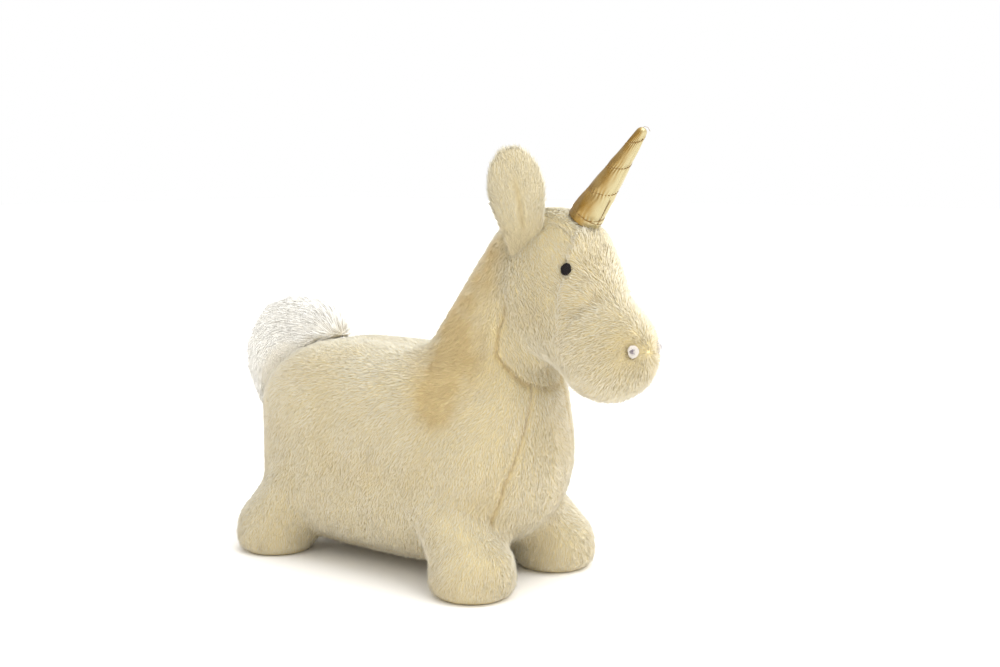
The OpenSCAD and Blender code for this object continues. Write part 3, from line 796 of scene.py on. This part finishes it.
# How far round the spiral a place on the horn is, from 0 at one stitch line to 1 at the next.
def spiralPart(h, z, turn):
    return ((z - h["foot"]) / h["pitch"] - (math.degrees(turn) - h["start"]) / 360) % 1.0


def coneRadius(h, z):
    full = h["length"] - h["tip"]
    if z <= full:
        return h["radius"] + (h["tip"] - h["radius"]) * max(z, 0) / full
    return math.sqrt(max(h["tip"] ** 2 - (z - full) ** 2, 0))


def makeHorn(h):
    bm = bmesh.new()
    steps = 150
    zs = [-0.006 + (h["length"] + 0.006) * k / steps for k in range(steps)] + [h["length"]]
    spine = [bm.verts.new((coneRadius(h, z), 0, z)) for z in zs]
    for a, b in zip(spine, spine[1:]):
        bm.edges.new((a, b))
    bmesh.ops.spin(bm, geom=bm.verts[:] + bm.edges[:], cent=(0, 0, 0), axis=(0, 0, 1), angle=math.tau, steps=120,
                   use_merge=True)
    bmesh.ops.remove_doubles(bm, verts=bm.verts, dist=1e-6)
    rim = [e for e in bm.edges if e.is_boundary]
    bmesh.ops.contextual_create(bm, geom=rim)
    bmesh.ops.recalc_face_normals(bm, faces=bm.faces)
    seamTurn = math.radians(h["seamTurn"])
    for v in bm.verts:
        z, r = v.co.z, math.hypot(v.co.x, v.co.y)
        if r < 1e-5 or z < 0:
            continue
        turn = math.atan2(v.co.y, v.co.x)
        part = spiralPart(h, z, turn)
        edge = min(part, 1 - part) * h["pitch"]
        full = max(0.0, 1 - z / h["length"]) * 0.5 + 0.5
        swell = h["puff"] * full * (1 - math.exp(-(edge / 0.0055) ** 2))
        pucker = 0.00045 * math.exp(-(edge / 0.0045)) * math.sin(turn * 23 + 5 * noise.noise(v.co * 60))
        crease = 0.0007 * full * noise.noise(Vector((math.cos(turn) * 2.2, math.sin(turn) * 2.2, z * 70)))
        off = (turn - seamTurn + math.pi) % math.tau - math.pi
        join = -0.0009 * math.exp(-(off * r / 0.0012) ** 2)
        grow = swell + pucker + crease + join
        fade = rise(z, -0.001, 0.004) * rise(h["length"] - z, 0.0, 0.006)
        v.co.x *= 1 + grow * fade / r
        v.co.y *= 1 + grow * fade / r
    bmesh.ops.transform(bm, matrix=hornPlace, verts=bm.verts)
    cover = fromBmesh(bm, "hornCover")
    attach(cover, "horn")
    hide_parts("horn_cover")
    return cover


def tubeAlong(name, spots, radius, sides=6):
    curve = bpy.data.curves.new(name, "CURVE")
    curve.dimensions = "3D"
    curve.bevel_depth, curve.bevel_resolution = radius, max(0, sides // 2 - 2)
    curve.use_fill_caps = True
    for run in spots:
        spline = curve.splines.new("POLY")
        spline.points.add(len(run) - 1)
        for point, c in zip(spline.points, run):
            point.co = (*c, 1)
    ob = linked(name, curve)
    bpy.context.view_layer.update()
    mesh = bpy.data.meshes.new_from_object(ob.evaluated_get(bpy.context.evaluated_depsgraph_get()))
    bpy.data.objects.remove(ob)
    mesh.shade_smooth()
    return linked(name, mesh)


# Short stitches that dip into the fabric at their ends, along the spiral, round the foot and up the join.
def makeHornThread(h):
    def onHorn(z, turn, lift):
        r = coneRadius(h, z) + lift
        return hornPlace @ Vector((r * math.cos(turn), r * math.sin(turn), z))

    runs = []

    def stitches(place, length, lift):
        count = max(1, int(length / h["stitch"]))
        for k in range(count):
            ends = (k + 0.1) / count, (k + 0.9) / count
            run = []
            for j in range(5):
                u = ends[0] + (ends[1] - ends[0]) * j / 4
                z, turn = place(u)
                run.append(onHorn(z, turn, lift + 0.00035 * math.sin(math.pi * j / 4) - 0.00015))
            runs.append(run)

    turns = (h["length"] - h["tip"] * 1.6) / h["pitch"]
    start = math.radians(h["start"])
    stitches(lambda u: (h["foot"] + h["pitch"] * turns * u, start + math.tau * turns * u),
             turns * math.tau * h["radius"] * 0.62, 0.0002)
    stitches(lambda u: (0.0025, math.tau * u), math.tau * h["radius"], 0.0004)
    seamTurn = math.radians(h["seamTurn"])
    stitches(lambda u: (0.002 + 0.030 * u, seamTurn), 0.030, 0.0004)
    thread = tubeAlong("hornThread", runs, h["thread"])
    stray = [onHorn(h["length"] - 0.003, 1.0, 0.0), onHorn(h["length"] + 0.001, 0.9, 0.0015)]
    end = hornPlace @ Vector((0.004, -0.001, h["length"] + 0.0015))
    loose = tubeAlong("hornLooseEnd", [[stray[0], stray[1], end, end + Vector((0.001, -0.002, -0.004))]], 0.00022)
    for piece in (thread, loose):
        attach(piece, "horn")
    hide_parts("horn_stitching")
    return thread, loose


def goldFabric(h):
    m, b = material("goldFabric", roughness=0.28, metallic=0.92, specular=0.5)
    add, link = nodeSet(m)
    spot = add("TexCoord").outputs["Object"]
    weave = add("TexNoise", Scale=1400.0, Detail=2.0)
    link(spot, weave.inputs["Vector"])
    wear = add("TexNoise", Scale=60.0, Detail=4.0)
    link(spot, wear.inputs["Vector"])
    # Painted reflection and painted shade: the fabric is painted pale where it faces one side, dark where it faces
    # away, gold in between; the pale tint also marks wear and weave.
    turned = add("VectorMath", operation="DOT_PRODUCT")
    link(add("TexCoord").outputs["Normal"], turned.inputs[0])
    turned.inputs[1].default_value = h["paleSide"]
    paintedReflection = ranged(add, link, turned.outputs["Value"], -0.25, 0.45)
    tint = mixed(add, link, paintedReflection, colour(h["gold"]), colour(h["pale"]))
    paintedShadeSide = ranged(add, link, turned.outputs["Value"], -0.95, -0.45)
    tint = mixed(add, link, paintedShadeSide, colour(h["shade"]), tint)
    tint = mixed(add, link, ranged(add, link, wear.outputs[0], 0.35, 0.75, 0.0, 0.3), tint, colour(h["pale"]))
    tint = mixed(add, link, ranged(add, link, weave.outputs[0], 0.35, 0.65, 0.0, 0.2), tint, colour(h["pale"]))
    link(tint, b.inputs["Base Color"])
    link(ranged(add, link, weave.outputs[0], 0.3, 0.7, 0.26, 0.44), b.inputs["Roughness"])
    bump = add("Bump", Strength=0.25, Distance=0.0003)
    link(weave.outputs[0], bump.inputs["Height"])
    link(bump.outputs[0], b.inputs["Normal"])
    return m


def threadMaterial(name, tint, gloss=0.5, sheen=0.2):
    m, b = material(name, roughness=gloss, sheen=sheen, specular=0.25)
    add, link = nodeSet(m)
    spot = add("TexCoord").outputs["Object"]
    twist = add("TexWave", Scale=900.0, Distortion=2.0)
    link(spot, twist.inputs["Vector"])
    c = colour(tint)
    groove = ranged(add, link, twist.outputs["Fac"], 0.0, 1.0, 0.0, 0.4)
    link(mixed(add, link, groove, c, [x * 0.6 for x in c[:3]] + [1]), b.inputs["Base Color"])
    bump = add("Bump", Strength=0.4, Distance=0.0002)
    link(twist.outputs["Fac"], bump.inputs["Height"])
    link(bump.outputs[0], b.inputs["Normal"])
    return m


makeHorn(horn).data.materials.append(goldFabric(horn))
for piece in makeHornThread(horn):
    piece.data.materials.append(threadMaterial("goldThread", horn["threadTint"]))
print("horn made")


# The tail is long white pile that falls over the rump.
tail = {
    "voxel": 0.005,
    "rounding": 6,
    "inset": 0.0020,
    "thin": 0.0050,          # how much further in the skin lies on the outer side, under the long pile
    "bend": 0.030,
    "bulge": 0.0150,         # how much fuller the pelt is over its root
    "spacing": 0.0015,
    "length": 0.028,
    "girth": 0.00070,
    "stand": 0.16,
    "wild": 0.06,
    "even": 0.3,
    "tip": "FFFFFC",
    "root": "FDFAF2",
    "deep": "EFE6D0",
    "arcY": 0.167,           # the middle of the curve that it follows, behind the barrel's middle
    "arcZ": 0.192,
}


def makeTail(p, tuft, paint):
    skin = softSkin(["tail_pelt", "tail_stuffing"], "tail", p["voxel"], p["rounding"], p["inset"])
    mid = np.array([0, barrelMid + p["arcY"], p["arcZ"]])
    root = Vector(joints["tail_lift"]["pos_m"])
    co, no = points(skin), normals(skin)
    face = rise(((co - mid) / np.linalg.norm(co - mid, axis=1, keepdims=True) * no).sum(1), -0.2, 0.5)
    front = near(co, root + Vector((0, 0.006, 0.036)), 0.026)
    setPoints(skin, co + no * (p["bulge"] * front - p["thin"] * face * (1 - front))[:, None])
    co, no = points(skin), normals(skin)
    arm = co - mid
    arm[:, 0] = 0
    arm /= np.maximum(np.linalg.norm(arm, axis=1, keepdims=True), 1e-6)
    flow = np.stack([np.zeros(len(co)), arm[:, 2], -arm[:, 1]], axis=1)
    way = flow + drifts(co, 0.03, (3, 7, 11)) * 0.35 + np.array([0, 0, -0.25])
    outer = rise((no * arm).sum(1), -0.9, -0.2)
    pile = (0.75 + 0.3 * drift(co, 0.015, 17)) * (0.35 + 0.65 * outer)
    stand = (1 + 0.35 * drift(co, 0.02, 29) + 0.6 * front) * (0.4 + 0.6 * outer)
    # Painted shade: the pile on the concave inner side of the tail's curl is painted deeper.
    setPileFields(skin, alongSkin(way, no), pile, stand, np.clip(0.5 * (1 - outer), 0, 1))
    setPile(skin, tuft, p, 90)
    skin.data.materials.clear()
    skin.data.materials.append(paint)
    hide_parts("tail_pelt")
    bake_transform(skin)


makeTail(tail, makeTuft("longTuft", 3, 3, 0.35), pileMaterial("whitePile", tail, mottle=0.02))
print("tail made")


# Eyes and nostrils are spots of satin stitch, sunk in the pile.
face = {
    "eyeWide": 0.0050,
    "eyeTall": 0.0064,
    "eyeLean": 0.35,         # radians that its threads are turned in the plane of the spot
    "nostril": 0.0064,
    "nostrilLean": 1.45,
    "dome": 0.0016,
    "nostrilDome": 0.0008,
    "eyeSunk": 0.0004,
    "nostrilSunk": 0.0034,
    "strands": 15,
    "eyeTint": "0C0407",
    "nostrilTint": "DAD5CF",
    "nostrilShade": "857B88",
}


def makeSpot(name, node, wide, tall, lean, dome, sunk, strands, tint):
    low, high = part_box(node)
    centre = (low + high) / 2
    side = 1 if centre.x > 0 else -1
    me = frame["nodes"][node].data
    co = np.array([v.co for v in me.vertices])
    flat = np.linalg.svd(co - co.mean(0))[2][2]
    out = Vector(flat) * (1 if flat[0] * side > 0 else -1)
    upward = Vector((0, 0, 1))
    across = upward.cross(out).normalized()
    upward = out.cross(across)
    place = Matrix((across, upward, out)).transposed().to_4x4()
    place.translation = centre - out * sunk
    runs = []
    for k in range(strands):                         # threads laid side by side, each over the spot's width
        v = -1 + 2 * (k + 0.5) / strands
        half = math.sqrt(max(1 - v * v, 0.05)) * (1 + 0.10 * noise.noise(Vector((k * 0.9, side, wide * 900))))
        run = []
        for j in range(9):
            u = (-1 + j / 4) * half
            lift = dome * (1 - min(1, u * u + v * v) ** 1.5) - 0.0012 * abs(u / half) ** 6
            x, y = u * wide, v * tall
            leanX, leanY = x * math.cos(lean) - y * math.sin(lean), x * math.sin(lean) + y * math.cos(lean)
            run.append(place @ Vector((leanX, leanY, lift)))
        runs.append(run)
    spotPiece = tubeAlong(name, runs, tall / strands * 1.25)
    spotPiece.data.materials.append(tint)
    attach(spotPiece, "cover")
    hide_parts(node)
    return spotPiece


# A few grey stitches that cross the white ones, towards the cheek.
def greyStitches(nose, s):
    co = points(nose)
    centre = Vector(co.mean(0))
    out = (centre - Vector(here(0, -291, 269))).normalized()
    back = (Vector((0.55 * s, 0.8, 0.05)) - out * out.dot(Vector((0.55 * s, 0.8, 0.05)))).normalized()
    up = out.cross(back)
    runs = []
    for start, end, bow in ((-0.1, 0.75, 0.32), (0.1, 0.9, 0.02), (-0.05, 0.7, -0.3), (0.35, 0.4, 0.0)):
        run = []
        for j in range(6):
            u = start + (end - start) * j / 5
            v = bow * (1 - 0.6 * u) if abs(start - end) > 0.2 else -0.4 + 0.8 * j / 5
            run.append(centre + out * (0.0024 - 0.0011 * (u * u + v * v)) + (back * u + up * v) * face["nostril"])
        runs.append(run)
    return tubeAlong(nose.name + "Stitches", runs, 0.00034)


# Takes the grey stitches into the nostril's own mesh, with a material of their own.
def addGrey(nose, marks):
    bm = bmesh.new()
    bm.from_mesh(nose.data)
    white = len(bm.faces)
    bm.from_mesh(marks.data)
    for f in bm.faces[white:]:
        f.material_index = 1
    bm.to_mesh(nose.data)
    bm.free()
    nose.data.materials.append(greyThread)
    bpy.data.objects.remove(marks)


eyeThread = threadMaterial("eyeThread", face["eyeTint"], 0.4, sheen=0.0)
nostrilThread = threadMaterial("nostrilThread", face["nostrilTint"], 0.45)
greyThread = threadMaterial("greyThread", face["nostrilShade"], 0.5)
for side, s in (("left", 1), ("right", -1)):
    eye = makeSpot("eye" + side.capitalize(), "eye_" + side, face["eyeWide"], face["eyeTall"],
                   face["eyeLean"] * s, face["dome"], face["eyeSunk"], face["strands"], eyeThread)
    nose = makeSpot("nostril" + side.capitalize(), "nostril_" + side, face["nostril"], face["nostril"],
                    face["nostrilLean"] * s, face["nostrilDome"], face["nostrilSunk"], face["strands"], nostrilThread)
    addGrey(nose, greyStitches(nose, s))
print("face made")


# Tints of the pieces that keep their CAD shape.
kept = {
    "vinyl": "D9D2BC",
    "tape": "EDE6D2",
    "coil": "E3DBC4",
    "metal": "B9B9BC",
    "wadding": "F7F6F2",
    "label": "F4F3F0",
}


def patterned(name, tint, scale, contrast, roughness, kind="TexNoise", metallic=0.0, sheen=0.0):
    m, b = material(name, roughness=roughness, metallic=metallic, sheen=sheen)
    add, link = nodeSet(m)
    grain = add(kind, Scale=scale)
    link(add("TexCoord").outputs["Object"], grain.inputs["Vector"])
    value = grain.outputs["Fac"] if "Fac" in grain.outputs else grain.outputs[0]
    c = colour(tint)
    link(mixed(add, link, ranged(add, link, value, 0.3, 0.7, 0.0, contrast), c, [x * 0.55 for x in c[:3]] + [1]),
         b.inputs["Base Color"])
    bump = add("Bump", Strength=0.3, Distance=0.0003)
    link(value, bump.inputs["Height"])
    link(bump.outputs[0], b.inputs["Normal"])
    return m


finishes = {
    "vinyl": patterned("vinyl", kept["vinyl"], 300, 0.15, 0.45),
    "zip_tape": patterned("zipTape", kept["tape"], 500, 0.4, 0.85, "TexWave", sheen=0.2),
    "zip_chain": patterned("zipCoil", kept["coil"], 420, 0.6, 0.45, "TexWave"),
    "zip_metal": patterned("zipMetal", kept["metal"], 250, 0.2, 0.3, metallic=0.9),
    "wadding": patterned("waddingFibre", kept["wadding"], 350, 0.3, 0.95, sheen=0.3),
    "label_satin": patterned("labelSatin", kept["label"], 900, 0.2, 0.5, "TexWave", sheen=0.3),
}
for node, body, inset in (("ear_left_stuffing", "ear_left", 0.0026), ("ear_right_stuffing", "ear_right", 0.0026),
                          ("horn_stuffing", "horn", 0.0010), ("tail_stuffing", "tail", 0.0030)):
    makeWadding(node, body, inset).data.materials.append(finishes["wadding"])
for part in frame["record"]["subparts"]:
    ob = frame["nodes"][part["node"]]
    if part["material_slot"] in finishes and not ob.hide_render:
        ob.data.materials.clear()
        ob.data.materials.append(finishes[part["material_slot"]])
print("kept pieces finished")


# The floor and the light.
studio = {
    "floor": "F9F8F6",
    "top": 1.20,             # brightness of the sky overhead, at the bright side and at the dim side
    "bright": 0.85,
    "dim": 0.34,
    "sun": 1.6,
    "warm": "FFE4B2",        # tint of the light that comes from the sides
}


def makeStudio(v):
    bm = bmesh.new()
    bmesh.ops.create_grid(bm, x_segments=8, y_segments=8, size=14.0)
    floor = fromBmesh(bm, "floor", smooth=False)
    m, b = material("paleFloor", roughness=0.9, specular=0.1)
    b.inputs["Base Color"].default_value = colour(v["floor"])
    floor.data.materials.append(m)
    world = bpy.data.worlds.new("studio")
    scene.world = world
    world.use_nodes = True
    tree = world.node_tree
    sky = tree.nodes["Background"]
    way = tree.nodes.new("ShaderNodeTexCoord").outputs["Generated"]

    def along(direction, low, high):
        dot = tree.nodes.new("ShaderNodeVectorMath")
        dot.operation = "DOT_PRODUCT"
        tree.links.new(way, dot.inputs[0])
        dot.inputs[1].default_value = direction
        ramp = tree.nodes.new("ShaderNodeMapRange")
        tree.links.new(dot.outputs["Value"], ramp.inputs["Value"])
        ramp.inputs["From Min"].default_value, ramp.inputs["From Max"].default_value = -0.6, 0.8
        ramp.inputs["To Min"].default_value, ramp.inputs["To Max"].default_value = low, high
        return ramp.outputs[0]

    level = tree.nodes.new("ShaderNodeMath")
    tree.links.new(along((0.55, -0.83, 0.05), v["dim"], v["bright"]), level.inputs[0])
    tree.links.new(along((0, 0, 1), 0.0, v["top"] - v["dim"]), level.inputs[1])
    seen = tree.nodes.new("ShaderNodeLightPath").outputs["Is Camera Ray"]
    pick = tree.nodes.new("ShaderNodeMix")
    tree.links.new(seen, pick.inputs[0])
    tree.links.new(level.outputs[0], pick.inputs[2])
    pick.inputs[3].default_value = 1.0
    tree.links.new(pick.outputs[0], sky.inputs["Strength"])
    tint = tree.nodes.new("ShaderNodeMix")
    tint.data_type = "RGBA"
    white = tree.nodes.new("ShaderNodeMath")
    white.operation = "MAXIMUM"
    tree.links.new(along((0, 0, 1.2), 0.0, 1.0), white.inputs[0])
    tree.links.new(seen, white.inputs[1])
    tree.links.new(white.outputs[0], tint.inputs[0])
    tint.inputs[6].default_value = colour(v["warm"])
    tint.inputs[7].default_value = (1, 1, 1, 1)
    tree.links.new(tint.outputs[2], sky.inputs["Color"])
    lamp = bpy.data.lights.new("sun", "SUN")
    lamp.energy, lamp.angle = v["sun"], math.radians(50)
    ob = bpy.data.objects.new("sun", lamp)
    scene.collection.objects.link(ob)
    ob.rotation_euler = Vector((0.12, -0.42, 1)).to_track_quat("Z", "Y").to_euler()
    scene.view_settings.view_transform = "Standard"
    scene.view_settings.look = "None"


makeStudio(studio)
